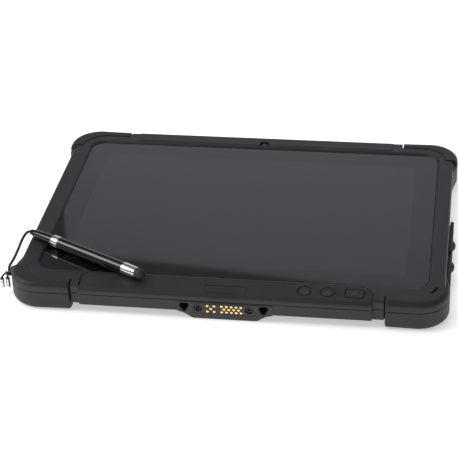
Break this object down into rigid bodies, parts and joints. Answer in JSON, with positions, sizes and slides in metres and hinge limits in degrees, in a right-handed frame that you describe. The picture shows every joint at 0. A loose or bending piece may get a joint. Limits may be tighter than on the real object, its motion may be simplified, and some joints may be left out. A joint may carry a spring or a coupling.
{
  "type": "rugged tablet data collector",
  "caption": "Rugged tablet data collector with corner bumpers, front keys, docking contacts, hinged port covers and a tethered stylus lying on the screen.",
  "frame": {"origin": "middle of the battery cover's underside, on the surface that the tablet lies on, below the centre of the picture area", "axes": "+X to the right, +Y to the camera edge, +Z out of the screen"},
  "size_m": [0.2849, 0.2005, 0.0268],
  "materials": {
    "housing": "fine matte texture",
    "bumper_rubber": "soft matte",
    "strip_rubber": "soft matte",
    "key_rubber": "soft matte",
    "seal_rubber": "matte",
    "screen_glass": "polished, with a black printed border",
    "lens_glass": "polished",
    "display": "smooth",
    "sensor": "clear",
    "magnesium": "cast",
    "circuit_board": "solder mask",
    "steel": "plain",
    "connector_black": "moulded",
    "gold_contact": "gold plated",
    "brass_insert": "turned",
    "ceramic": "fired",
    "battery_case": "moulded",
    "lug_plastic": "moulded",
    "cord": "braided",
    "chrome": "polished",
    "pen_black": "glossy lacquer",
    "pen_rubber": "soft matte"
  },
  "bodies": {
    "case": {"upper_housing": "housing", "lower_housing": "housing", "perimeter_seal": "seal_rubber", "touch_glass": "screen_glass", "glass_gasket": "seal_rubber", "display_module": "display", "sensor_windows": "sensor", "mid_frame": "magnesium", "front_strip": "strip_rubber", "label_plate": "strip_rubber", "rear_strip": "housing", "bumper_front_left_upper": "bumper_rubber", "bumper_front_left_lower": "bumper_rubber", "bumper_front_right_upper": "bumper_rubber", "bumper_front_right_lower": "bumper_rubber", "bumper_rear_left_upper": "bumper_rubber", "bumper_rear_left_lower": "bumper_rubber", "bumper_rear_right_upper": "bumper_rubber", "bumper_rear_right_lower": "bumper_rubber", "key_board": "circuit_board", "dome_switches": "steel", "dock_block": "connector_black", "dock_contacts": "gold_contact", "dock_screws": "steel", "camera_module": "connector_black", "camera_window": "lens_glass", "case_posts": "housing", "main_board": "circuit_board", "heat_spreader": "magnesium", "gnss_module": "steel", "gnss_antenna": "ceramic", "radio_antennas": "gold_contact", "speakers": "connector_black", "rear_camera": "connector_black", "rear_camera_window": "lens_glass", "flash_lens": "lens_glass", "battery_pack": "battery_case", "battery_terminals": "gold_contact", "battery_cover": "housing", "case_screws": "steel", "strap_inserts": "brass_insert", "side_board": "circuit_board", "network_socket": "steel", "usb_socket": "steel", "port_hinge_pins": "steel", "tether_lug": "lug_plastic", "tether_knot": "cord", "tether_cord": "cord", "tether_tails": "cord", "tether_end_caps": "chrome"},
    "key_left": {"key_left": "key_rubber"},
    "key_right": {"key_right": "key_rubber"},
    "power_key": {"power_key": "key_rubber"},
    "cover_rear": {"port_cover_rear": "strip_rubber"},
    "cover_front": {"port_cover_front": "strip_rubber"},
    "stylus": {"stylus_cap": "pen_black", "stylus_tail_ring": "chrome", "stylus_barrel": "pen_black", "stylus_tip_ring": "chrome", "stylus_tip": "pen_rubber"}
  },
  "joints": [
    {"name": "key_left_press", "type": "slide", "parent": "case", "child": "key_left", "axis": [0, 0, -1], "range_m": [0, 0.0006], "stiffness_N_per_m": 1000},
    {"name": "key_right_press", "type": "slide", "parent": "case", "child": "key_right", "axis": [0, 0, -1], "range_m": [0, 0.0006], "stiffness_N_per_m": 1000},
    {"name": "power_key_press", "type": "slide", "parent": "case", "child": "power_key", "axis": [0, 0, -1], "range_m": [0, 0.0006], "stiffness_N_per_m": 1000},
    {"name": "cover_rear_hinge", "type": "hinge", "parent": "case", "child": "cover_rear", "pos_m": [0.1347, -0.01, 0.0052], "axis": [0, 1, 0], "range_deg": [0, 100]},
    {"name": "cover_front_hinge", "type": "hinge", "parent": "case", "child": "cover_front", "pos_m": [0.1347, -0.0482, 0.0052], "axis": [0, 1, 0], "range_deg": [0, 100]},
    {"name": "stylus_lift", "type": "slide", "parent": "case", "child": "stylus", "axis": [0, 0, 1], "range_m": [0, 0.012]}
  ]
}
